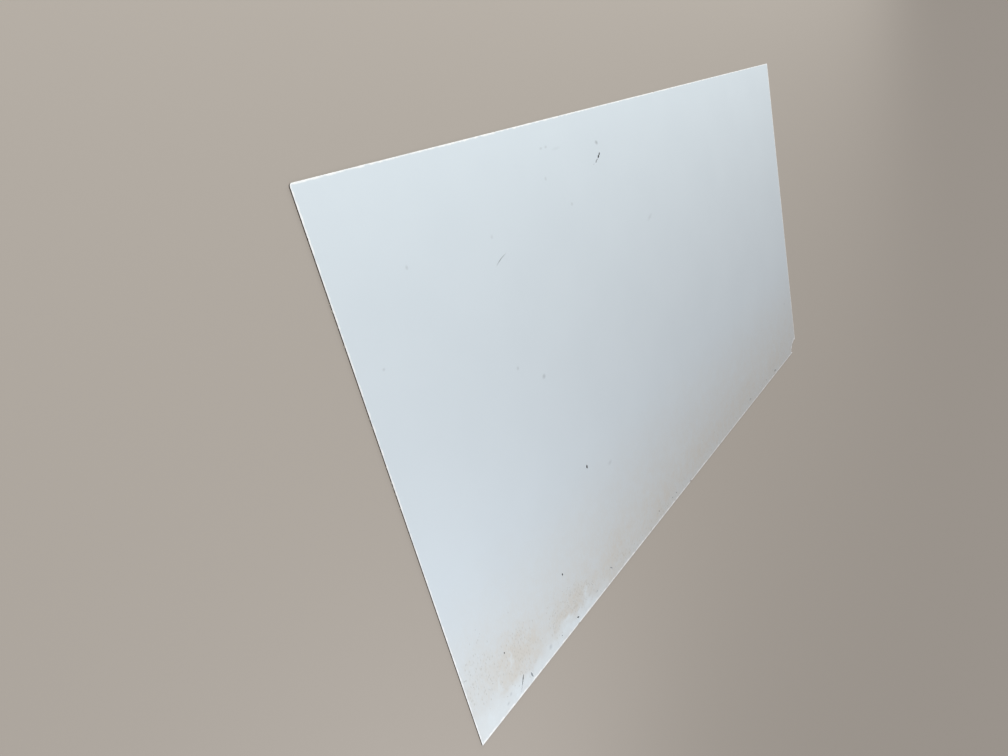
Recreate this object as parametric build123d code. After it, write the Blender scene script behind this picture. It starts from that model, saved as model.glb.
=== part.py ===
"""Decorative laminate sheet: one pressed fibre board with a white resin face, sawn to size.

The sheet lies flat with its decor face up. +X runs along its length and +Y runs across it,
towards the long edge that stood uppermost. The origin is the middle of the underside.
"""

import os

from build123d import *

# The sheet as sold: eight feet by four feet by an eighth of an inch
sheet_length = 2438.4
sheet_width = 1219.2
sheet_thickness = 3.2

# How far handling has rounded each corner, seen from above
upper_near_radius = 6.0
lower_near_radius = 1.2
upper_far_radius = 4.0

# The decor face rolls over by this much where a saw left it
arris_radius = 0.4

# The corner that broke off, at the far end of the lower long edge
break_along = 61.0
break_up = 46.0

# The board split into two plies as it broke, at this height above the underside
ply_line = 1.5
# The lower ply tore further back than the decor ply, and both torn faces lean outwards
lower_ply_set_back = 4.0
lower_ply_lean = 2.0
decor_ply_lean = 0.8

# The torn line from the long edge to the short edge, in shares of break_along and break_up:
# a tooth beside the long edge, a hollow, the slope, then the shoulder beside the short edge
torn_line = [
    (1.00, 0.00),
    (0.89, 0.07),
    (1.10, 0.17),
    (1.09, 0.36),
    (0.98, 0.46),
    (0.85, 0.66),
    (0.65, 0.85),
    (0.38, 0.94),
    (0.28, 1.01),
    (0.00, 1.00),
]

# What is cut away reaches this far past the sheet's edges
overrun = 5.0


def sawn_outline():
    """The sheet from above, as sawn, with three of its corners rounded by handling."""
    outline = Rectangle(sheet_length, sheet_width)
    for end, side, radius in (
        (-1, 1, upper_near_radius),
        (-1, -1, lower_near_radius),
        (1, 1, upper_far_radius),
    ):
        corner = (end * sheet_length / 2, side * sheet_width / 2, 0)
        outline = fillet(outline.vertices().sort_by_distance(corner)[0], radius)
    return outline


def sawn_board():
    """The whole board, with the arris of its decor face eased all round."""
    board = extrude(sawn_outline(), sheet_thickness)
    decor_face = board.faces().sort_by(Axis.Z)[-1]
    return fillet(decor_face.edges(), arris_radius)


def missing_area(set_back, height):
    """What is missing at one height: the torn line, closed outside the lost corner."""
    corner_x = sheet_length / 2
    corner_y = -sheet_width / 2
    along = break_along + set_back
    up = break_up + set_back
    torn = [(corner_x - a * along, corner_y + b * up) for a, b in torn_line]
    outside = [
        (corner_x + overrun, torn[-1][1]),
        (corner_x + overrun, corner_y - overrun),
        (torn[0][0], corner_y - overrun),
    ]
    return Pos(0, 0, height) * make_face(Polyline(*torn, *outside, close=True))


def missing_ply(low, high, set_back, lean):
    """What is missing of one ply, whose torn face leans outwards from low to high."""
    return loft([missing_area(set_back + lean, low), missing_area(set_back, high)], ruled=True)


def laminate_sheet():
    """The board with its broken corner: two torn plies, the decor one reaching further out."""
    lower_ply = missing_ply(0, ply_line, lower_ply_set_back, lower_ply_lean)
    decor_ply = missing_ply(ply_line, sheet_thickness, 0, decor_ply_lean)
    return sawn_board() - lower_ply - decor_ply


os.makedirs("parts", exist_ok=True)
export_step(laminate_sheet(), "parts/laminate_sheet.step")
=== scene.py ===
"""A worn white laminate sheet, eight feet by four, lying flat with its decor face up.

Places are in metres in the sheet's own frame, and names that end in _mm hold millimetres.
+X runs along the sheet, +Y across it, and its underside is at height 0.
"""

import math
import random

import bmesh
import bpy
from mathutils import Matrix, Vector, noise


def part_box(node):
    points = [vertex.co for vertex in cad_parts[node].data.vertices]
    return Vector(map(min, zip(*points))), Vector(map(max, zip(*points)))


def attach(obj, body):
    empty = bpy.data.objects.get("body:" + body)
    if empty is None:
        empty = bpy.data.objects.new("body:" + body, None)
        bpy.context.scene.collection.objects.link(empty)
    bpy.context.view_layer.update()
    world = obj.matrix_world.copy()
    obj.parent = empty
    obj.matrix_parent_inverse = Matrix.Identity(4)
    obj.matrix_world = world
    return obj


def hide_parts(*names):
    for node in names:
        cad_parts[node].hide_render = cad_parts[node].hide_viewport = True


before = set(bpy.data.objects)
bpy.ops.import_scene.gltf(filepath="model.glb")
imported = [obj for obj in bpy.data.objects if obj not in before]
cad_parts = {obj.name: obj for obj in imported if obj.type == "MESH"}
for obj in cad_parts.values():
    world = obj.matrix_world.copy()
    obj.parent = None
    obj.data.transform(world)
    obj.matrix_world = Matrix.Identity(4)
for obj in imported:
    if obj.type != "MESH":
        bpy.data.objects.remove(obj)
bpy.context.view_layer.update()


# The picture. The sheet is seen from beyond its near end, from a metre above its face, with
# the upper long edge at the top and the lower one running away to the broken corner.
camera_place = Vector((-1.9646, 0.5887, 0.9819))
camera_aim = Vector((-0.8641, 0.0254, 0.0))
camera_roll = math.radians(92.58)
camera_lens_mm = 25.1
camera_rise = 0.0397
camera_sees_to = 300.0

camera = bpy.data.objects.new("camera", bpy.data.cameras.new("camera"))
camera.data.lens = camera_lens_mm
camera.data.shift_y = camera_rise
camera.data.clip_end = camera_sees_to
camera.location = camera_place
camera_turn = (camera_aim - camera_place).to_track_quat("-Z", "Y").to_matrix()
camera.rotation_euler = (camera_turn @ Matrix.Rotation(camera_roll, 3, "Z")).to_euler()
bpy.context.scene.collection.objects.link(camera)
bpy.context.scene.camera = camera
bpy.context.scene.view_settings.view_transform = "Standard"


# The sheet: wood fibre and resin pressed into one hard eighth-inch board, with a white paper
# soaked in melamine fused to its face in the same press, then sawn square. Handling rubbed
# three corners round and chipped the edges, and the fourth corner broke off in two plies.
MM = 0.001
sheet_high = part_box("laminate_sheet")[1]
half_length = sheet_high.x
half_width = sheet_high.y
thickness = sheet_high.z
corner_radii_mm = {(1, 1): 4.0, (-1, 1): 6.0, (-1, -1): 1.2}
corner_steps = 8
break_along_mm = 61.0
break_up_mm = 46.0

# The torn line from the lower edge to the far end, in shares of the two break sizes
torn_line = [
    (1.00, 0.00),
    (0.89, 0.07),
    (1.10, 0.17),
    (1.09, 0.36),
    (0.98, 0.46),
    (0.85, 0.66),
    (0.65, 0.85),
    (0.38, 0.94),
    (0.28, 1.01),
    (0.00, 1.00),
]

# How far apart the outline's points are on the torn line, on a sawn edge and at its chips, and
# the shortest last step of a sawn edge
torn_step = 0.7 * MM
sawn_step = 20 * MM
chip_step = 0.9 * MM
chip_margin_mm = 1
least_step = 0.4 * chip_step

# Each level goes once round the sheet: its height and inset on a sawn edge, then its height
# and set back on the torn line. The ply under the decor face reaches furthest out there, and
# a sawn edge's last four levels roll over the arris, where the resin shows white.
levels_mm = [
    (0.00, 0.25, 0.00, 6.0),
    (0.25, 0.00, 0.30, 5.6),
    (0.75, 0.00, 0.80, 4.9),
    (1.20, 0.00, 1.25, 4.2),
    (1.46, 0.00, 1.45, 4.0),
    (1.50, 0.00, 1.56, 2.4),
    (1.54, 0.00, 1.62, 0.8),
    (2.10, 0.00, 2.10, 0.5),
    (2.50, 0.00, 2.60, 0.2),
    (2.80, 0.00, 2.92, 0.0),
    (2.95, 0.03, 2.99, 0.2),
    (3.08, 0.12, 3.06, 0.5),
    (3.17, 0.25, 3.13, 0.6),
    (3.20, 0.40, 3.20, 0.7),
]
first_resin_level = 9
first_torn_resin_level = 11
ledge_level = 5

# How ragged the tear is and over what length, how far the resin flaked back from it and how
# uneven the ledge is. The rag grows over the first points at each end of the torn line, and
# changes faster through the board than along it, because the fibres lie flat.
tear_rag_mm = 1.5
tear_length_mm = 7.0
tear_layering = 2.5
tear_run_in = 4
flake_mm = 1.2
flake_length_mm = 4.0
flake_more = 0.2
ledge_rag_mm = 0.12
ledge_length_mm = 3.0

# Heights far above the sheet, where the flakes and the ledge take a noise of their own
flake_noise_mm = 40.0
ledge_noise_mm = 80.0

# The two large faces are divided into cells, and an edge sharper than the crease shades as one
face_cell = 60 * MM
back_cell = 120 * MM
cut_within = 1e-7
level_within = 1e-6
crease = math.radians(40)
SCREENED_BACK, SAWN_EDGE, TORN_FIBRE, DECOR_FACE = range(4)

# Chips of the decor face's edge: place, length along the edge, depth into the face
edge_chips_mm = [
    (-32, -609.6, 10, 4.6),
    (-158, -609.6, 9, 1.6),
    (-792, -609.6, 9, 1.4),
    (-1004, -609.6, 4, 0.6),
    (-596, -609.6, 5, 0.8),
    (-276, -609.6, 4, 0.6),
    (214, -609.6, 5, 0.8),
    (589, -609.6, 6, 0.9),
    (918, -609.6, 5, 0.9),
    (-1219.2, -352, 4, 0.7),
    (-1219.2, 520, 4, 0.6),
    (1219.2, 318, 6, 0.9),
    (1219.2, -96, 7, 1.1),
    (1219.2, -422, 6, 1.0),
    (-655, 609.6, 5, 0.7),
    (148, 609.6, 6, 0.8),
    (874, 609.6, 5, 0.9),
]

# A chip starts at a height, deepens towards the face and is rounded at its ends. Its rim is
# ragged, and the dark fibre shows in it where it is deep enough.
chip_floor_mm = 1.6
chip_slope = 1.3
chip_roundness = 0.6
chip_rag = 0.35
chip_rag_length_mm = 1.6
chip_shows_fibre_mm = 0.7


def chip_at(place):
    """How deep into the decor face an edge chip reaches at one place on the edge."""
    for x_mm, y_mm, length_mm, depth_mm in edge_chips_mm:
        share = (place - Vector((x_mm, y_mm)) * MM).length / (0.5 * length_mm * MM)
        if share < 1:
            spot = Vector((place.x, place.y, 0)) / (chip_rag_length_mm * MM)
            uneven = 1 + chip_rag * noise.noise(spot)
            return depth_mm * MM * uneven * (1 - share**2) ** chip_roundness
    return 0.0


def sawn_shares(start, end):
    """Where the points of one sawn run lie, as shares of it, closer together at a chip."""
    length = (end - start).length
    shares = []
    gone = 0.0
    while gone < length - least_step:
        here = start.lerp(end, gone / length)
        shares.append(gone / length)
        step = sawn_step
        for x_mm, y_mm, length_mm, _ in edge_chips_mm:
            away = (here - Vector((x_mm, y_mm)) * MM).length
            away -= (0.5 * length_mm + chip_margin_mm) * MM
            step = min(step, max(away, chip_step))
        gone += step
    return shares


def torn_corners(set_back_mm):
    """The torn line at one depth, from the lower long edge to the far end."""
    along = (break_along_mm + set_back_mm) * MM
    up = (break_up_mm + set_back_mm) * MM
    return [Vector((half_length - a * along, b * up - half_width)) for a, b in torn_line]


def rubbed_corner(end, side):
    """The arc of one rubbed corner, anticlockwise from above."""
    radius = corner_radii_mm[end, side] * MM
    centre = Vector((end * (half_length - radius), side * (half_width - radius)))
    first = {(1, 1): 0, (-1, 1): 90, (-1, -1): 180}[end, side]
    turns = [math.radians(first + 90 * k / corner_steps) for k in range(corner_steps + 1)]
    return [centre + radius * Vector((math.cos(t), math.sin(t))) for t in turns]


def outline_at(set_back_mm):
    """The outline from above, anticlockwise from the torn line's lower end, and how many of
    its points are on the torn line. Each set back gives as many points."""
    torn = torn_corners(set_back_mm)
    face_torn = torn_corners(0)
    points = []
    for k in range(len(torn) - 1):
        count = round((face_torn[k + 1] - face_torn[k]).length / torn_step)
        points += [torn[k].lerp(torn[k + 1], step / count) for step in range(count)]
    torn_count = len(points)
    start, face_start = torn[-1], face_torn[-1]
    for end, side in corner_radii_mm:
        arc = rubbed_corner(end, side)
        points += [start.lerp(arc[0], share) for share in sawn_shares(face_start, arc[0])]
        points += arc[:-1]
        start = face_start = arc[-1]
    points += [start.lerp(torn[0], share) for share in sawn_shares(start, face_torn[0])]
    return points, torn_count


def tear(place, height_mm, size_mm):
    """The raggedness of the tear, about -1 to 1, the same at each run of the script."""
    spot = Vector((place.x, place.y, tear_layering * height_mm * MM)) / (size_mm * MM)
    fall_off, narrowing, octaves = 0.7, 2.0, 5
    return noise.fractal(spot, fall_off, narrowing, octaves)


def level_points(level):
    """One level's points, anticlockwise from the torn line's lower end."""
    sawn_height, inset, torn_height, set_back = levels_mm[level]
    outline, torn_count = outline_at(set_back)
    above_floor = (sawn_height - chip_floor_mm) * MM / (thickness - chip_floor_mm * MM)
    spall = max(0.0, above_floor) ** chip_slope
    points = []
    for k, place in enumerate(outline):
        after = outline[(k + 1) % len(outline)]
        along = (after - outline[k - 1]).normalized()
        out = Vector((along.y, -along.x))
        if 0 < k < torn_count:
            ends = min(1.0, k / tear_run_in, (torn_count - k) / tear_run_in)
            move = tear_rag_mm * tear(place, torn_height, tear_length_mm)
            if level >= first_torn_resin_level:
                flaked = tear(place, flake_noise_mm, flake_length_mm) + flake_more
                move -= flake_mm * max(0.0, flaked)
            place = place + out * move * ends * MM
            place.x = min(place.x, half_length - inset * MM)
            place.y = max(place.y, inset * MM - half_width)
            height = torn_height
            if level == ledge_level:
                height += ledge_rag_mm * tear(place, ledge_noise_mm, ledge_length_mm)
        else:
            if k == 0:
                out = Vector((0, -1))
            if k == torn_count:
                out = Vector((1, 0))
            place = place - out * (inset * MM + chip_at(place) * spall)
            height = sawn_height
        points.append(Vector((place.x, place.y, height * MM)))
    return points


def sheet_shape(levels, torn_count):
    """The whole sheet as one closed mesh, from the back up to the decor face."""
    shape = bmesh.new()
    loops = [[shape.verts.new(point) for point in points] for points in levels]
    count = len(loops[0])
    for level in range(len(loops) - 1):
        low, high = loops[level], loops[level + 1]
        for k in range(count):
            after = (k + 1) % count
            side = shape.faces.new((low[k], low[after], high[after], high[k]))
            middle = 0.5 * (low[k].co + low[after].co).to_2d()
            if k < torn_count:
                side.material_index = DECOR_FACE if level >= first_torn_resin_level else TORN_FIBRE
            elif level > ledge_level and chip_at(middle) > chip_shows_fibre_mm * MM:
                side.material_index = TORN_FIBRE
            else:
                side.material_index = DECOR_FACE if level >= first_resin_level else SAWN_EDGE
            side.smooth = True
    back = shape.faces.new(reversed(loops[0]))
    back.material_index = SCREENED_BACK
    decor = shape.faces.new(loops[-1])
    decor.material_index = DECOR_FACE
    for face, cell in ((back, back_cell), (decor, face_cell)):
        for edge in face.edges:
            edge.smooth = False
        cut_into_cells(shape, face, cell)
    shape.normal_update()
    for edge in shape.edges:
        if edge.calc_face_angle(0.0) > crease:
            edge.smooth = False
    return shape


def cut_into_cells(shape, face, cell):
    """Divides one large flat face into cells, and those into triangles."""
    height = face.verts[0].co.z
    kind = face.material_index
    faces = [face]
    for axis, half in ((0, half_length), (1, half_width)):
        for k in range(1, math.ceil(2 * half / cell)):
            middle = Vector((0, 0, height))
            middle[axis] = k * cell - half
            normal = Vector((0, 0, 0))
            normal[axis] = 1
            edges = {edge for f in faces for edge in f.edges}
            verts = {vert for f in faces for vert in f.verts}
            bmesh.ops.bisect_plane(
                shape,
                geom=faces + list(edges) + list(verts),
                dist=cut_within,
                plane_co=middle,
                plane_no=normal,
            )
            faces = [f for f in shape.faces if flat_at(f, height) and f.material_index == kind]
    bmesh.ops.triangulate(shape, faces=faces)


def flat_at(face, height):
    """Whether a face lies level at a height."""
    return all(abs(vert.co.z - height) < level_within for vert in face.verts)


levels = [level_points(level) for level in range(len(levels_mm))]
torn_count = outline_at(0)[1]
shape = sheet_shape(levels, torn_count)
mesh = bpy.data.meshes.new("pressed_laminate_sheet")
shape.to_mesh(mesh)
shape.free()
sheet = bpy.data.objects.new("pressed_laminate_sheet", mesh)
bpy.context.scene.collection.objects.link(sheet)


def from_hex(code):
    """An sRGB hex colour as linear values with alpha."""
    parts = [int(code[k : k + 2], 16) / 255 for k in (1, 3, 5)]
    return (*[c / 12.92 if c <= 0.04045 else ((c + 0.055) / 1.055) ** 2.4 for c in parts], 1)


def add(tree, kind, inputs=None, **settings):
    """A shader node with its settings, and its inputs set to values or linked."""
    node = tree.nodes.new("ShaderNode" + kind)
    for name, value in settings.items():
        setattr(node, name, value)
    for name, value in (inputs or {}).items():
        if isinstance(value, bpy.types.NodeSocket):
            tree.links.new(value, node.inputs[name])
        else:
            node.inputs[name].default_value = value
    return node.outputs[0]


def new_material(name):
    """A material by name, with its node tree and its Principled shader."""
    material = bpy.data.materials.new(name)
    material.use_nodes = True
    return material, material.node_tree, material.node_tree.nodes["Principled BSDF"]


# Nearly all of a noise texture lies between these
noise_low, noise_high = 0.3, 0.7


def per_mm(size_mm):
    """The scale at which a pattern on metres repeats about once in a size."""
    return 1 / (size_mm * MM)


def patch(tree, place, x_mm, y_mm, long_mm, wide_mm, turn_degrees):
    """A soft round patch on the face: 1 at its middle, 0 at its rim."""
    local = add(
        tree,
        "Mapping",
        {
            "Vector": place,
            "Location": (x_mm * MM, y_mm * MM, 0),
            "Rotation": (0, 0, math.radians(turn_degrees)),
            "Scale": (long_mm * MM, wide_mm * MM, 1),
        },
        vector_type="TEXTURE",
    )
    return add(tree, "TexGradient", {"Vector": local}, gradient_type="SPHERICAL")


def patches(tree, place, table):
    """The patches of a table added up, each at its own strength."""
    total = 0.0
    for x_mm, y_mm, long_mm, wide_mm, turn_degrees, strength in table:
        spot = patch(tree, place, x_mm, y_mm, long_mm, wide_mm, turn_degrees)
        total = add(tree, "Math", {0: spot, 1: strength, 2: total}, operation="MULTIPLY_ADD")
    return total


# Soiling on the decor face: middle, half length, half width, turn and strength. The film is
# what damp and dust left where the lower edge stood, and the specks are dried splashes in it.
film_mm = [
    (-1040, -506, 118, 88, 10, 0.54),
    (-1150, -445, 80, 90, 0, 0.22),
    (-842, -538, 100, 56, 0, 0.36),
    (-748, -534, 96, 54, 0, 0.28),
    (-560, -545, 150, 80, 0, 0.26),
    (-250, -560, 220, 80, 0, 0.20),
    (80, -550, 200, 70, 0, 0.24),
    (330, -550, 180, 70, 0, 0.16),
    (560, -545, 180, 70, 0, 0.20),
    (914, -557, 170, 70, 0, 0.18),
]
specks_mm = [
    (-1161, -452, 80, 95, 0, 1.0),
    (-1040, -508, 105, 95, 0, 0.8),
    (-872, -532, 60, 64, 0, 0.9),
    (-780, -528, 70, 60, 0, 1.1),
    (-712, -545, 50, 40, 0, 0.9),
    (-560, -585, 180, 46, 0, 0.5),
    (-200, -588, 300, 40, 0, 0.55),
    (300, -588, 340, 38, 0, 0.5),
    (850, -585, 380, 42, 0, 0.55),
]
# Lighter patches: the first four are wiped places, and the others make the face lighter along the
# lower edge
lightened_mm = [
    (-1069, -505, 8, 34, 0, 0.5),
    (-1122, -530, 10, 46, -30, 0.4),
    (-734, -550, 16, 26, 0, 0.8),
    (-824, -561, 22, 18, 0, 0.5),
    (-870, -594, 180, 52, 0, 0.85),
    (-1185, -575, 80, 60, 0, 0.6),
    (-1070, -602, 150, 48, 0, 0.8),
    (-720, -604, 140, 40, 0, 0.7),
]
smudges_mm = [
    (-236.5, 524.5, 10, 6.5, -25, 0.9),
    (-753, 406, 6, 6, 0, 0.3),
    (-412, 403, 7, 6, 0, 0.4),
    (-503, 482, 6, 6, 0, 0.38),
    (-496, 550, 8, 4, 0, 0.4),
    (-475, 550, 8, 4, 0, 0.42),
    (-433, 540, 24, 5, 0, 0.16),
    (-1023, 416, 5, 6, 0, 0.45),
    (-1153, 262, 5, 4, 0, 0.4),
    (-777, 110, 6, 6, 0, 0.45),
    (-689, 53, 9, 8, 0, 0.65),
    (-8, 278, 22, 8, 20, 0.28),
    (-489, -290, 14, 8, 0, 0.35),
    (-1110, -589, 7, 5, 0, 0.5),
    (-1094, -575, 6, 6, 0, 0.45),
    (-921, -580, 9, 9, 0, 0.55),
    (1121, -364, 8, 6, 0, 0.4),
]

# The film's band along the lower edge, how uneven the film is, and a splash: how far from its
# middle it is solid and how far it reaches, in shares of its cell, and how strongly it shows
lower_edge_band_mm = 450
lower_edge_band_strength = 0.6
film_unevenness = 0.25
splash_solid = 0.1
splash_rim = 0.42
splash_strength = 0.4

# The sizes of the patterns on the face: how the stains' outlines drift, the film's clouds and
# its grime, the cells that hold one splash each, the noise that makes the painted highlight beside
# the edges uneven, and the mottling, grain and waves from the press. What dried while it ran down
# is drawn out by streaking.
drift_size_mm = 45
drift_reach_mm = (80, 100)
cloud_size_mm = 38
grime_size_mm = 5
splash_cell_mm = 5
streaking = 0.45
rim_noise_size_mm = 16
mottle_size_mm = 210
mottle_strength = 0.14
grain_size_mm = 5
grain_depth_mm = 0.02
wave_size_mm = 170
wave_depth_mm = 0.35
clean_roughness = 0.56
filmed_roughness = 0.66

# How wide the painted highlight is beside the near end, the upper edge, the far end and the lower
# edge, each by its axis and the way from the edge into the face. It is at full strength over a
# first share of its width, and its width wanders with a noise.
rims_mm = {("X", 1): 3.8, ("Y", -1): 3.8, ("X", -1): 7.0, ("Y", 1): 6.2}
rim_full = 0.4
rim_wander = 1.58
rim_faintest = 0.55
rim_noise_between = (0.35, 0.6)

# The painted highlight beside the torn line reaches this far from the lost corner, in break sizes
torn_highlight_reach = 1.27
torn_highlight_wander = 0.12
torn_highlight_fade = (0.09, 0.13)


def melamine_face():
    """Melamine resin over white paper, pressed against a satin plate: a cool, even white with
    a soft sheen, under the film, splashes and lighter places of a sheet that stood on edge, and a
    painted highlight along its edges."""
    material, tree, shader = new_material("melamine_face_satin_pressed")
    clean_colour = from_hex("#d6e0e6")
    mottled_colour = from_hex("#c6d1d8")
    film_colour = from_hex("#d0cec7")
    speck_colour = from_hex("#a3a196")
    lightened_colour = from_hex("#dde6ea")
    # The pale colour of the painted highlight along the edges
    edge_highlight_colour = from_hex("#f8faf9")
    smudge_colour = from_hex("#a3aaae")
    place = tree.nodes.new("ShaderNodeTexCoord").outputs["Object"]

    # The patches' round outlines wander by up to 30 mm
    drift = add(
        tree, "TexNoise", {"Vector": place, "Scale": per_mm(drift_size_mm), "Detail": 4.0}
    ).node
    drift = add(
        tree,
        "VectorMath",
        {0: drift.outputs["Color"], 1: (0.5, 0.5, 0.5)},
        operation="SUBTRACT",
    )
    drifted = add(
        tree,
        "VectorMath",
        {0: drift, 1: (drift_reach_mm[0] * MM, drift_reach_mm[1] * MM, 0), 2: place},
        operation="MULTIPLY_ADD",
    )

    film = patches(tree, drifted, film_mm)
    up = add(tree, "SeparateXYZ", {"Vector": drifted}).node.outputs["Y"]
    band = add(
        tree,
        "MapRange",
        {
            "Value": up,
            "From Min": -half_width,
            "From Max": lower_edge_band_mm * MM - half_width,
            "To Min": lower_edge_band_strength,
            "To Max": 0.0,
        },
        interpolation_type="SMOOTHSTEP",
    )
    film = add(tree, "Math", {0: film, 1: band}, operation="ADD")
    clouds = add(
        tree, "TexNoise", {"Vector": place, "Scale": per_mm(cloud_size_mm), "Detail": 4.0}
    )
    streaked = add(tree, "VectorMath", {0: place, 1: (1, streaking, 1)}, operation="MULTIPLY")
    grime = add(
        tree, "TexNoise", {"Vector": streaked, "Scale": per_mm(grime_size_mm), "Detail": 2.0}
    )
    uneven = add(tree, "Math", {0: clouds, 1: grime}, operation="ADD")
    uneven = add(
        tree,
        "MapRange",
        {
            "Value": uneven,
            "From Min": 1 - film_unevenness,
            "From Max": 1 + film_unevenness,
            "To Min": 1 - film_unevenness,
            "To Max": 1 + film_unevenness,
        },
    )
    film = add(tree, "Math", {0: film, 1: uneven}, operation="MULTIPLY", use_clamp=True)

    # Splashes are up to 4 mm wide and twice as long, soft at their rims, at most one to a cell
    cells = add(
        tree,
        "TexVoronoi",
        {"Vector": streaked, "Scale": per_mm(splash_cell_mm), "Randomness": 1.0},
        voronoi_dimensions="2D",
    ).node
    pick = add(tree, "SeparateColor", {"Color": cells.outputs["Color"]}).node
    splash = add(
        tree,
        "MapRange",
        {
            "Value": cells.outputs["Distance"],
            "From Min": splash_solid,
            "From Max": splash_rim,
            "To Min": 1.0,
            "To Max": 0.0,
        },
    )
    wanted = patches(tree, drifted, specks_mm)
    chosen = add(tree, "Math", {0: pick.outputs["Red"], 1: wanted}, operation="LESS_THAN")
    splash = add(tree, "Math", {0: splash, 1: chosen}, operation="MULTIPLY")
    splash = add(tree, "Math", {0: splash, 1: pick.outputs["Green"]}, operation="MULTIPLY")
    splash = add(tree, "Math", {0: splash, 1: splash_strength}, operation="MULTIPLY")

    lightened = patches(tree, drifted, lightened_mm)
    lightened = add(tree, "Math", {0: lightened, 1: uneven}, operation="MULTIPLY", use_clamp=True)
    smudged = patches(tree, place, smudges_mm)

    # A painted highlight lies on the face beside its edges, widest beside the far end and the
    # lower edge. The distance from the nearest one is counted in rims, so the rim ends where it
    # comes to 1.
    along = add(tree, "SeparateXYZ", {"Vector": place}).node
    from_edge = None
    for (axis, inwards), wide_mm in rims_mm.items():
        half = half_length if axis == "X" else half_width
        rims = per_mm(wide_mm)
        reach = add(
            tree,
            "Math",
            {0: along.outputs[axis], 1: inwards * rims, 2: half * rims},
            operation="MULTIPLY_ADD",
        )
        if from_edge is None:
            from_edge = reach
        else:
            from_edge = add(tree, "Math", {0: from_edge, 1: reach}, operation="MINIMUM")
    rim_noise = add(
        tree, "TexNoise", {"Vector": place, "Scale": per_mm(rim_noise_size_mm), "Detail": 5.0}
    )
    ragged = add(
        tree, "Math", {0: rim_noise, 1: -rim_wander, 2: from_edge}, operation="MULTIPLY_ADD"
    )
    rim = add(
        tree,
        "MapRange",
        {
            "Value": ragged,
            "From Min": rim_full - 0.5 * rim_wander,
            "From Max": 1 - 0.5 * rim_wander,
            "To Min": 1.0,
            "To Max": 0.0,
        },
    )

    # The painted highlight goes on beside the torn line, about as far as an ellipse round the lost
    # corner
    torn_highlight = patch(
        tree,
        place,
        half_length / MM,
        -half_width / MM,
        torn_highlight_reach * break_along_mm,
        torn_highlight_reach * break_up_mm,
        0,
    )
    torn_highlight = add(
        tree, "Math", {0: rim_noise, 1: torn_highlight_wander, 2: torn_highlight}, operation="MULTIPLY_ADD"
    )
    torn_highlight = add(
        tree,
        "MapRange",
        {
            "Value": torn_highlight,
            "From Min": torn_highlight_fade[0],
            "From Max": torn_highlight_fade[1],
        },
    )
    rim = add(tree, "Math", {0: rim, 1: torn_highlight}, operation="MAXIMUM")
    rim_noise = add(
        tree,
        "MapRange",
        {
            "Value": rim_noise,
            "From Min": rim_noise_between[0],
            "From Max": rim_noise_between[1],
            "To Min": rim_faintest,
            "To Max": 1.0,
        },
    )
    rim = add(tree, "Math", {0: rim, 1: rim_noise}, operation="MULTIPLY")

    mottle = add(
        tree, "TexNoise", {"Vector": place, "Scale": per_mm(mottle_size_mm), "Detail": 3.0}
    )
    mottle = add(
        tree,
        "MapRange",
        {
            "Value": mottle,
            "From Min": noise_low,
            "From Max": noise_high,
            "To Min": 0.0,
            "To Max": mottle_strength,
        },
    )

    # Each layer lies over those before it, from the paper's mottling out to the splashes. The rim
    # layer is the painted highlight along the edges.
    layers = [
        (mottle, mottled_colour),
        (film, film_colour),
        (lightened, lightened_colour),
        (rim, edge_highlight_colour),
        (smudged, smudge_colour),
        (splash, speck_colour),
    ]
    colour = clean_colour
    for cover, laid_on in layers:
        colour = add(tree, "MixRGB", {"Fac": cover, "Color1": colour, "Color2": laid_on})
    tree.links.new(colour, shader.inputs["Base Color"])

    rough = add(
        tree,
        "MapRange",
        {"Value": film, "To Min": clean_roughness, "To Max": filmed_roughness},
    )
    tree.links.new(rough, shader.inputs["Roughness"])
    shader.inputs["IOR"].default_value = 1.55

    # The plate's satin grain is 0.3 mm and is drawn at 5 mm, the least that shows here
    grain = add(
        tree, "TexNoise", {"Vector": place, "Scale": per_mm(grain_size_mm), "Detail": 3.0}
    )
    grained = add(
        tree, "Bump", {"Height": grain, "Strength": 1.0, "Distance": grain_depth_mm * MM}
    )
    waves = add(
        tree, "TexNoise", {"Vector": place, "Scale": per_mm(wave_size_mm), "Detail": 1.0}
    )
    waved = add(
        tree,
        "Bump",
        {
            "Height": waves,
            "Strength": 1.0,
            "Distance": wave_depth_mm * MM,
            "Normal": grained,
        },
    )
    tree.links.new(waved, shader.inputs["Normal"])
    return material


def hardboard(name, dark, light, across, roughness, depth_mm, grain_mm):
    """Bare pressed wood fibre, brown from the heat of the press: matt, and streaked as far as
    its grain is stretched by across."""
    material, tree, shader = new_material(name)
    place = tree.nodes.new("ShaderNodeTexCoord").outputs["Object"]
    drawn = add(tree, "VectorMath", {0: place, 1: across}, operation="MULTIPLY")
    streaks = add(tree, "TexNoise", {"Vector": drawn, "Scale": per_mm(grain_mm), "Detail": 6.0})
    spread = add(
        tree, "MapRange", {"Value": streaks, "From Min": noise_low, "From Max": noise_high}
    )
    browned = {"Fac": spread, "Color1": from_hex(dark), "Color2": from_hex(light)}
    tree.links.new(add(tree, "MixRGB", browned), shader.inputs["Base Color"])
    shader.inputs["Roughness"].default_value = roughness
    shader.inputs["IOR"].default_value = 1.45
    fluff = add(tree, "Bump", {"Height": streaks, "Strength": 1.0, "Distance": depth_mm * MM})
    tree.links.new(fluff, shader.inputs["Normal"])
    return material


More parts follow.
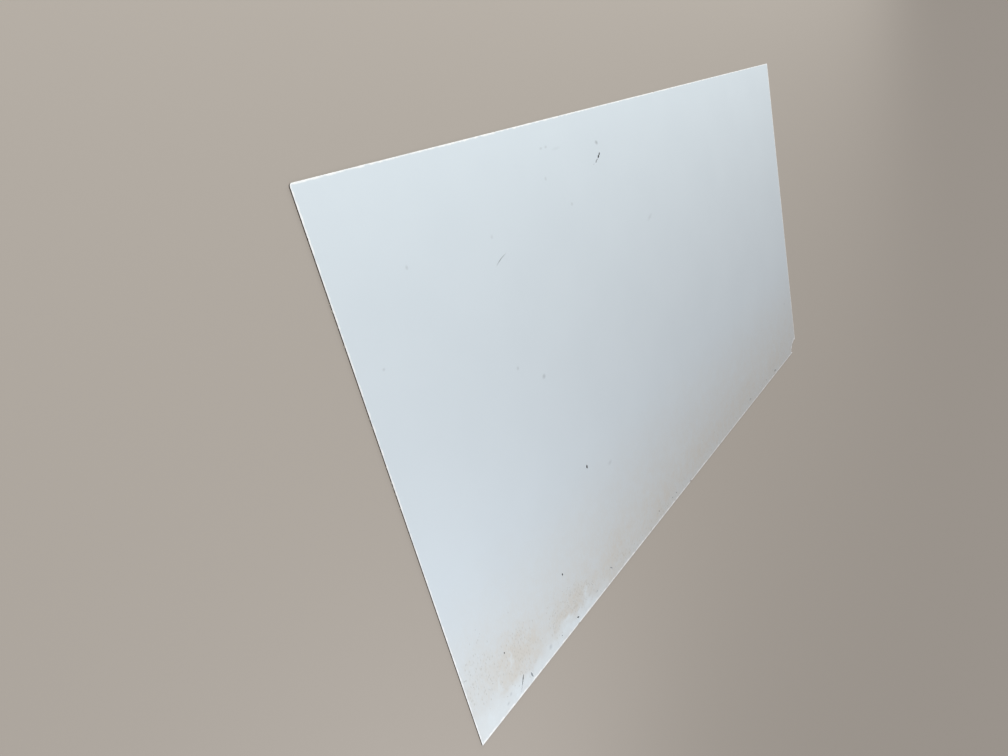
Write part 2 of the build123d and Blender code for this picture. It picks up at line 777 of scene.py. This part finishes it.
def screened_back():
    """The back was pressed against a wire screen that let the steam out: matt brown, with the
    screen's weave in it. The wires lie 1.6 mm apart and are drawn 6 mm apart, to show."""
    material, tree, shader = new_material("hardboard_back_screen_pressed")
    weave_drawn_mm = 6
    weave_share = 0.5
    fibre_size_mm = 14
    pressed_depth_mm = 0.3
    place = tree.nodes.new("ShaderNodeTexCoord").outputs["Object"]
    along = add(tree, "SeparateXYZ", {"Vector": place}).node
    turn = 2 * math.pi * per_mm(weave_drawn_mm)
    ribs = []
    for axis in ("X", "Y"):
        phase = add(tree, "Math", {0: along.outputs[axis], 1: turn}, operation="MULTIPLY")
        ribs.append(add(tree, "Math", {0: phase}, operation="SINE"))
    weave = add(tree, "Math", {0: ribs[0], 1: ribs[1]}, operation="MULTIPLY")
    fibre = add(
        tree, "TexNoise", {"Vector": place, "Scale": per_mm(fibre_size_mm), "Detail": 8.0}
    )
    stain = add(
        tree, "MapRange", {"Value": fibre, "From Min": noise_low, "From Max": noise_high}
    )
    browned = {"Fac": stain, "Color1": from_hex("#5f4632"), "Color2": from_hex("#80624a")}
    tree.links.new(add(tree, "MixRGB", browned), shader.inputs["Base Color"])
    shader.inputs["Roughness"].default_value = 0.85
    shader.inputs["IOR"].default_value = 1.45
    height = add(tree, "Math", {0: weave, 1: weave_share, 2: fibre}, operation="MULTIPLY_ADD")
    pressed = {"Height": height, "Strength": 1.0, "Distance": pressed_depth_mm * MM}
    tree.links.new(add(tree, "Bump", pressed), shader.inputs["Normal"])
    return material


# Saw lines run up the edge, so the grain there is drawn long in height. Its brown is drawn
# darker than bare hardboard, as painted shade along the thin edge.
shaded_sawn_fibre = hardboard(
    "hardboard_sawn_edge_shaded",
    dark="#34281f",
    light="#5e4a3a",
    across=(1, 1, 0.25),
    roughness=0.8,
    depth_mm=0.08,
    grain_mm=1.8,
)
torn_fibre = hardboard(
    "hardboard_torn_fibre",
    dark="#6a503a",
    light="#a88a6b",
    across=(1, 1, 2.5),
    roughness=0.95,
    depth_mm=0.25,
    grain_mm=1.2,
)
mesh.materials.append(screened_back())
mesh.materials.append(shaded_sawn_fibre)
mesh.materials.append(torn_fibre)
mesh.materials.append(melamine_face())
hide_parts("laminate_sheet")
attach(sheet, "root")


# Marks on the decor face: rubber and soot rubbed onto it, drops of tar that dried there and
# one hair-fine scratch with dirt packed in it. They lie on the resin, a film that is about a
# tenth of a millimetre thick, so each is thin and closed and starts just under the surface.
mark_sunk_mm = 0.03
mark_height_mm = 0.12
stroke_steps = 4
stroke_fullness = 0.85
stroke_rag = 0.55
stroke_rag_per_mm = 0.9

# The corners of a stroke's section: its side, the share of its half width, and its height
stroke_section = [
    (1, 1.0, -mark_sunk_mm),
    (1, 0.55, mark_height_mm),
    (-1, 0.55, mark_height_mm),
    (-1, 1.0, -mark_sunk_mm),
]

# Each stroke is a line of places, with the mark's half width at each
dark_strokes_mm = [
    [(-229, 497.5, 1.2), (-231.5, 496, 2.9), (-234, 494.5, 2.7), (-236, 493, 1.4)],
    [(-235, 491.5, 1.9), (-237.5, 490.5, 4.1), (-241, 489, 4.4), (-244, 487.5, 1.9)],
    [(-1038, -566, 0.9), (-1042, -572, 2.1), (-1046, -578, 1.7), (-1051, -585, 0.9)],
    [(-793, -589, 1.4), (-789, -591, 3.0), (-785, -593, 1.6)],
    [(904, -595, 1.4), (907.5, -593.5, 3.6), (911.5, -592, 3.8), (915, -590.5, 1.4)],
]
grey_strokes_mm = [
    [
        (-246, 485, 1.0),
        (-249, 483.5, 2.5),
        (-252, 482, 1.9),
        (-256, 479.5, 2.7),
        (-259, 477.5, 1.0),
    ],
    [(-267, 476, 0.4), (-269.5, 475, 0.8), (-272, 474, 0.4)],
    [(-1051, -585, 0.8), (-1056, -592, 0.6), (-1061, -600, 0.3)],
    [(-1012.5, -582, 0.9), (-1011.5, -587, 2.8), (-1010, -593, 2.6), (-1008.5, -598, 0.7)],
    [(-600, -564, 0.8), (-596.5, -567.5, 1.8), (-593, -571, 1.7), (-589, -574.5, 0.7)],
    [(579, -586, 0.8), (585, -584.5, 2.2), (592, -584, 1.8), (599, -585.5, 0.7)],
    [(-687, -586.5, 0.7), (-683, -585, 1.5), (-680, -584.5, 0.6)],
]
scratch_mm = [
    (-759, 345.5, 0.25),
    (-753, 349, 0.5),
    (-747, 352, 0.85),
    (-740, 355, 0.7),
    (-731, 358, 0.5),
    (-720, 360.5, 0.25),
]

# Each drop's place, its half width, how many times as long as wide it ran, and its height
drops_mm = [
    (-600, -243, 3.3, 1.6, 0.5),
    (-1076, -468, 1.7, 1.3, 0.35),
    (-808, -441, 2.3, 1.3, 0.35),
    (-276, -578, 1.8, 1.2, 0.25),
    (-177, -587, 1.5, 1.2, 0.2),
    (-146, -587, 1.8, 1.2, 0.25),
    (796, -588, 1.8, 1.2, 0.25),
    (926, -595, 1.6, 1.0, 0.2),
    (-869, -587, 1.2, 1.2, 0.2),
]
drop_sides = 14
drop_rag = 0.3
drop_rag_detail = 1.3

# The rings of a drop above its sunk rim: shares of its half width and of its height
drop_rings = [(0.93, 0.55), (0.6, 0.92)]


def lay_stroke(shape, stroke_mm, kind):
    """A rubbed-on mark along a line of (x, y, half width), ragged at its sides."""
    path = []
    for before, after in zip(stroke_mm, stroke_mm[1:]):
        path += [Vector(before).lerp(Vector(after), k / stroke_steps) for k in range(stroke_steps)]
    path.append(Vector(stroke_mm[-1]))
    corners = len(stroke_section)
    rings = []
    for k, spot in enumerate(path):
        along = (path[min(k + 1, len(path) - 1)] - path[max(k - 1, 0)]).to_2d().normalized()
        side = Vector((-along.y, along.x))
        ring = []
        for way, share, up_mm in stroke_section:
            own_noise = Vector((spot.x, spot.y, 7 * way)) * stroke_rag_per_mm
            ragged = stroke_fullness + stroke_rag * noise.noise(own_noise)
            place = spot.to_2d() + side * way * share * spot.z * ragged
            height = thickness / MM + up_mm
            ring.append(shape.verts.new(Vector((place.x, place.y, height)) * MM))
        rings.append(ring)
    faces = []
    for low, high in zip(rings, rings[1:]):
        for k in range(corners):
            after = (k + 1) % corners
            faces.append(shape.faces.new((low[k], high[k], high[after], low[after])))
    faces.append(shape.faces.new(rings[0]))
    faces.append(shape.faces.new(reversed(rings[-1])))
    for face in faces:
        face.material_index = kind


def lay_drop(shape, x_mm, y_mm, radius_mm, run, height_mm):
    """A drop that dried on the face: an uneven dome, closed underneath."""
    section = [(1.0, -mark_sunk_mm)] + [(share, up * height_mm) for share, up in drop_rings]
    rings = []
    for share, up in section:
        ring = []
        for k in range(drop_sides):
            turn = 2 * math.pi * k / drop_sides
            way = Vector((math.cos(turn), run * math.sin(turn)))
            uneven = 1 + drop_rag * noise.noise(Vector((way.x, way.y, x_mm)) * drop_rag_detail)
            place = Vector((x_mm, y_mm)) + way * radius_mm * share * uneven
            ring.append(shape.verts.new(Vector((place.x, place.y, thickness / MM + up)) * MM))
        rings.append(ring)
    top = shape.verts.new(Vector((x_mm, y_mm, thickness / MM + height_mm)) * MM)
    for low, high in zip(rings, rings[1:]):
        for k in range(drop_sides):
            after = (k + 1) % drop_sides
            shape.faces.new((low[k], low[after], high[after], high[k]))
    for k in range(drop_sides):
        shape.faces.new((rings[-1][k], rings[-1][(k + 1) % drop_sides], top))
    shape.faces.new(reversed(rings[0]))


def finish_piece(name, shape, materials):
    """A piece of the sheet from its shape, riding with the sheet and finished as it is."""
    bmesh.ops.recalc_face_normals(shape, faces=shape.faces)
    for face in shape.faces:
        face.smooth = True
    mesh = bpy.data.meshes.new(name)
    shape.to_mesh(mesh)
    shape.free()
    for material in materials:
        mesh.materials.append(material)
    piece = bpy.data.objects.new(name, mesh)
    bpy.context.scene.collection.objects.link(piece)
    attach(piece, "root")


def rubbed_on(name, thin, thick, grain_mm):
    """Matt stuff rubbed or dried onto the resin, thicker and darker in places."""
    material, tree, shader = new_material(name)
    thin_below, thick_above = 0.35, 0.6
    crumb_depth_mm = 0.05
    place = tree.nodes.new("ShaderNodeTexCoord").outputs["Object"]
    clumps = add(tree, "TexNoise", {"Vector": place, "Scale": per_mm(grain_mm), "Detail": 3.0})
    cover = add(
        tree, "MapRange", {"Value": clumps, "From Min": thin_below, "From Max": thick_above}
    )
    coloured = {"Fac": cover, "Color1": from_hex(thin), "Color2": from_hex(thick)}
    tree.links.new(add(tree, "MixRGB", coloured), shader.inputs["Base Color"])
    crumbs = {"Height": cover, "Strength": 1.0, "Distance": crumb_depth_mm * MM}
    tree.links.new(add(tree, "Bump", crumbs), shader.inputs["Normal"])
    shader.inputs["Roughness"].default_value = 0.75
    shader.inputs["IOR"].default_value = 1.52
    return material


strokes = bmesh.new()
for stroke in dark_strokes_mm:
    lay_stroke(strokes, stroke, 0)
for stroke in grey_strokes_mm:
    lay_stroke(strokes, stroke, 1)
rubber = rubbed_on("black_rubber_rubbed_on", thin="#3e4244", thick="#1d1f20", grain_mm=1.5)
soot = rubbed_on("grey_soot_rubbed_on", thin="#a2a8ac", thick="#787e82", grain_mm=1.5)
finish_piece("rubber_scuffs", strokes, [rubber, soot])

scratch = bmesh.new()
lay_stroke(scratch, scratch_mm, 0)
packed_dirt = rubbed_on("dirt_packed_in_scratch", thin="#62686b", thick="#444a4d", grain_mm=2)
finish_piece("hairline_scratch", scratch, [packed_dirt])

drops = bmesh.new()
for drop in drops_mm:
    lay_drop(drops, *drop)
tar = rubbed_on("tar_dried_in_drops", thin="#2c2927", thick="#161413", grain_mm=1.2)
finish_piece("tar_drops", drops, [tar])


# Grit: crumbs of dried mud and sawdust that stuck to the face low down while the sheet stood
# on edge. They are scattered in the film and thickest along the lower edge.

# Each field of grit: its middle, its spread along and across the sheet, and how many crumbs
grit_fields_mm = [
    (-1165, -450, 34, 42, 24),
    (-1045, -505, 60, 48, 28),
    (-875, -535, 34, 26, 22),
    (-775, -528, 44, 28, 44),
    (-712, -545, 24, 18, 16),
    (-600, -592, 90, 10, 20),
    (-200, -590, 210, 12, 44),
    (100, -560, 80, 26, 16),
    (420, -594, 240, 9, 36),
    (880, -592, 230, 11, 44),
    (1110, -560, 60, 30, 12),
]

# How large, flat, long and lumpy the crumbs come, each between two values, and by what share
# of its height each stands out of the film
grit_radius_mm = (0.35, 1.0)
grit_flatness = (0.3, 0.55)
grit_length = (1.0, 1.7)
grit_lumps = (0.75, 1.2)
grit_rises = 0.6
mud_share = 0.75
clear_of_edge_mm = 4
clear_of_break = 1.5
chance = random.Random(11)


def lay_grain(shape, x_mm, y_mm, radius_mm, kind):
    """One crumb: an uneven flattened lump, sunk a little into the film."""
    grown = bmesh.ops.create_icosphere(shape, subdivisions=1, radius=1.0)["verts"]
    flat = chance.uniform(*grit_flatness)
    long = chance.uniform(*grit_length)
    turn = Matrix.Rotation(chance.uniform(0, math.pi), 3, "Z")
    for vert in grown:
        lump = chance.uniform(*grit_lumps)
        local = turn @ Vector((vert.co.x * long, vert.co.y, 0)) * lump
        height = thickness / MM + radius_mm * flat * (vert.co.z * lump + grit_rises)
        vert.co = Vector((x_mm + radius_mm * local.x, y_mm + radius_mm * local.y, height)) * MM
    for face in {face for vert in grown for face in vert.link_faces}:
        face.material_index = kind


def on_face(x_mm, y_mm):
    """Whether a place is on the face, clear of its edges and of the broken corner."""
    from_end = half_length / MM - abs(x_mm)
    from_side = half_width / MM - abs(y_mm)
    whole = x_mm < 0 or from_end / break_along_mm + from_side / break_up_mm > clear_of_break
    return whole and min(from_end, from_side) > clear_of_edge_mm


grit = bmesh.new()
for x_mm, y_mm, spread_x, spread_y, count in grit_fields_mm:
    for _ in range(count):
        grain_x = chance.gauss(x_mm, spread_x)
        grain_y = chance.gauss(y_mm, spread_y)
        radius = chance.triangular(*grit_radius_mm, grit_radius_mm[0])
        if on_face(grain_x, grain_y):
            kind = 0 if chance.random() < mud_share else 1
            lay_grain(grit, grain_x, grain_y, radius, kind)
mud = rubbed_on("mud_dried_in_crumbs", thin="#aba89f", thick="#8b8880", grain_mm=0.8)
sawdust = rubbed_on("sawdust_stuck_on", thin="#d3ccbe", thick="#b3aa98", grain_mm=0.8)
finish_piece("grit_on_face", grit, [mud, sawdust])


# Loose fibre: pressed fibres that stand out of the broken corner, short ones that fray from
# the sawn edges, and pale tufts where the saw tore the near end's edge below the decor face.
fibre_stands_mm = 0.5
fibre_bend = 0.3
fibre_taper = (1.0, 0.75)

# The torn fibres, the frayed ones and the tufts: how many and where, how long and thick, how
# far each leans along the edge and up for its reach outwards, and how deep its root is sunk
torn_fibre_count = 260
torn_fibre_levels = [1, 2, 3, 6, 7, 8, 9, 9]
torn_lengths_mm = (0.8, 3.2)
torn_radii_mm = (0.05, 0.13)
torn_along = 0.8
torn_up = (-0.5, 0.6)
torn_root_mm = 0.3

frayed_fibre_count = 240
frayed_heights_mm = (0.3, 2.6)
frayed_lengths_mm = (0.4, 0.9)
frayed_radius_mm = 0.06
frayed_along = 1.4
frayed_up = 0.3
frayed_root_mm = 0.15
clear_of_corners_mm = 75

tuft_fibre_count = 16
tuft_heights_mm = (0.7, 2.5)
tuft_reaches = (0.6, 1.1)
tuft_radii_mm = (0.12, 0.3)
tuft_along = (-1.1, 0.4)
tuft_up = (-0.35, 0.25)
tuft_root_mm = 0.3

# Each tuft's place on the near end, its length along the end and how far it stands out
tufts_mm = [
    (408, 4, 3.0),
    (396, 4, 3.0),
    (367, 3, 1.8),
    (333, 6.5, 4.2),
    (191.5, 4.5, 3.6),
    (175.5, 4.5, 2.8),
    (120, 3, 1.6),
    (92, 3, 1.6),
    (60, 4, 2.8),
    (48, 5, 3.2),
    (35, 6.5, 4.0),
    (3.5, 6, 3.8),
]
fibre_chance = random.Random(5)


def lay_fibre(shape, root, way, length, radius):
    """One tapered fibre: a bent three-sided spike, its root sunk in the sheet. It neither
    dips below the back nor stands up much past the face."""
    way = way.normalized()
    across = way.orthogonal().normalized()
    other = way.cross(across)
    bend = across * fibre_chance.uniform(-fibre_bend, fibre_bend)
    bend += other * fibre_chance.uniform(-fibre_bend, fibre_bend)
    spine = []
    for share in (0.0, 0.5, 1.0):
        spot = root + (way * share + bend * share**2) * length
        spot.z = min(max(spot.z, 1.5 * radius), thickness + fibre_stands_mm * MM)
        spine.append(spot)
    rings = []
    for middle, thin in zip(spine, fibre_taper):
        ring = []
        for k in range(3):
            turn = 2 * math.pi * k / 3
            spoke = across * math.cos(turn) + other * math.sin(turn)
            ring.append(shape.verts.new(middle + spoke * radius * thin))
        rings.append(ring)
    tip = shape.verts.new(spine[-1])
    shape.faces.new(reversed(rings[0]))
    for k in range(3):
        after = (k + 1) % 3
        shape.faces.new((rings[0][k], rings[0][after], rings[1][after], rings[1][k]))
        shape.faces.new((rings[1][k], rings[1][after], tip))


fibres = bmesh.new()
for _ in range(torn_fibre_count):
    level = fibre_chance.choice(torn_fibre_levels)
    ring = levels[level]
    k = fibre_chance.randrange(2, torn_count - 2)
    along = (ring[k + 1] - ring[k - 1]).normalized()
    out = Vector((along.y, -along.x, fibre_chance.uniform(*torn_up)))
    out += along * fibre_chance.uniform(-torn_along, torn_along)
    root = ring[k] - out.normalized() * torn_root_mm * MM
    length = fibre_chance.uniform(*torn_lengths_mm) * MM
    lay_fibre(fibres, root, out, length, fibre_chance.uniform(*torn_radii_mm) * MM)
finish_piece("torn_corner_fibres", fibres, [torn_fibre])

fray = bmesh.new()
sides = [(0, -1, half_width), (-1, 0, half_length), (0, 1, half_width), (1, 0, half_length)]
for _ in range(frayed_fibre_count):
    way_x, way_y, reach = fibre_chance.choice(sides)
    run = (half_length if way_y else half_width) - clear_of_corners_mm * MM
    gone = fibre_chance.uniform(-run, run)
    height = fibre_chance.uniform(*frayed_heights_mm) * MM
    root = Vector((way_x * reach, way_y * reach, height))
    root += Vector((abs(way_y) * gone, abs(way_x) * gone, 0))
    root -= Vector((way_x, way_y, 0)) * frayed_root_mm * MM
    lean = fibre_chance.uniform(-frayed_along, frayed_along)
    out = Vector((way_x, way_y, fibre_chance.uniform(-frayed_up, frayed_up)))
    out += Vector((abs(way_y), abs(way_x), 0)) * lean
    length = fibre_chance.uniform(*frayed_lengths_mm) * MM
    lay_fibre(fray, root, out, length, frayed_radius_mm * MM)
pale_fibre = hardboard(
    "wood_fibre_frayed_pale",
    dark="#a8957a",
    light="#d2c3a8",
    across=(1, 1, 1),
    roughness=0.9,
    depth_mm=0.05,
    grain_mm=1.0,
)
finish_piece("frayed_edge_fibres", fray, [pale_fibre])

tufts = bmesh.new()
for y_mm, long_mm, reach_mm in tufts_mm:
    for _ in range(tuft_fibre_count):
        gone = y_mm + long_mm * fibre_chance.uniform(-0.5, 0.5)
        height = fibre_chance.uniform(*tuft_heights_mm) * MM
        root = Vector((tuft_root_mm * MM - half_length, gone * MM, height))
        out = Vector((-1, fibre_chance.uniform(*tuft_along), fibre_chance.uniform(*tuft_up)))
        length = reach_mm * fibre_chance.uniform(*tuft_reaches) * MM
        lay_fibre(tufts, root, out, length, fibre_chance.uniform(*tuft_radii_mm) * MM)
torn_pale = hardboard(
    "paper_fibre_torn_pale",
    dark="#cfc5b6",
    light="#efe9df",
    across=(1, 1, 1),
    roughness=0.9,
    depth_mm=0.05,
    grain_mm=1.0,
)
finish_piece("near_end_tufts", tufts, [torn_pale])


# The floor and the light, which are not part of the sheet: a plain pale floor, a long soft
# lamp over the upper edge, a smaller one over the near end and an even sky.
floor_half = 60
floor_mesh = bpy.data.meshes.new("floor")
floor_corners = [(-1, -1), (1, -1), (1, 1), (-1, 1)]
floor_places = [(floor_half * x, floor_half * y, 0) for x, y in floor_corners]
floor_mesh.from_pydata(floor_places, [], [(0, 1, 2, 3)])
floor = bpy.data.objects.new("floor", floor_mesh)
bpy.context.scene.collection.objects.link(floor)
floor_material, tree, shader = new_material("floor_pale_matt")
shader.inputs["Base Color"].default_value = from_hex("#79736d")
shader.inputs["Roughness"].default_value = 0.9
shader.inputs["Specular IOR Level"].default_value = 0.1

# It glows a little for the camera alone, so that it looks even where the lamps don't reach
seen = add(tree, "LightPath").node.outputs["Is Camera Ray"]
tree.links.new(seen, shader.inputs["Emission Strength"])
shader.inputs["Emission Color"].default_value = from_hex("#86817a")
floor_mesh.materials.append(floor_material)


def softbox(name, place, aim, wide, high, watts, colour):
    """A soft rectangular lamp, aimed at a point."""
    light = bpy.data.lights.new(name, "AREA")
    light.shape = "RECTANGLE"
    light.size = wide
    light.size_y = high
    light.energy = watts
    light.color = from_hex(colour)[:3]
    lamp = bpy.data.objects.new(name, light)
    lamp.location = place
    lamp.visible_camera = False
    towards = Vector(aim) - Vector(place)
    lamp.rotation_euler = towards.to_track_quat("-Z", "Y").to_euler()
    bpy.context.scene.collection.objects.link(lamp)


softbox(
    "long_softbox",
    place=(0.44, 2.13, 1.0),
    aim=(0.44, 0.6, 0),
    wide=6.5,
    high=1.3,
    watts=102,
    colour="#fbfffd",
)
softbox(
    "near_softbox",
    place=(-1.57, -0.9, 0.95),
    aim=(-1.6, -0.93, 0),
    wide=1.2,
    high=1.2,
    watts=9.2,
    colour="#f4f9ff",
)

world = bpy.data.worlds.new("even_sky")
bpy.context.scene.world = world
world.use_nodes = True
tree = world.node_tree
sky = tree.nodes["Background"]
sky.inputs["Color"].default_value = from_hex("#fff8fa")
sky.inputs["Strength"].default_value = 0.38

# The camera sees the sky in the far floor's colour, so no horizon shows
backdrop = add(tree, "Background", {"Color": from_hex("#9a938c"), "Strength": 1.0})
seen = add(tree, "LightPath").node.outputs["Is Camera Ray"]
either = add(tree, "MixShader", {0: seen, 1: sky.outputs[0], 2: backdrop})
tree.links.new(either, tree.nodes["World Output"].inputs["Surface"])
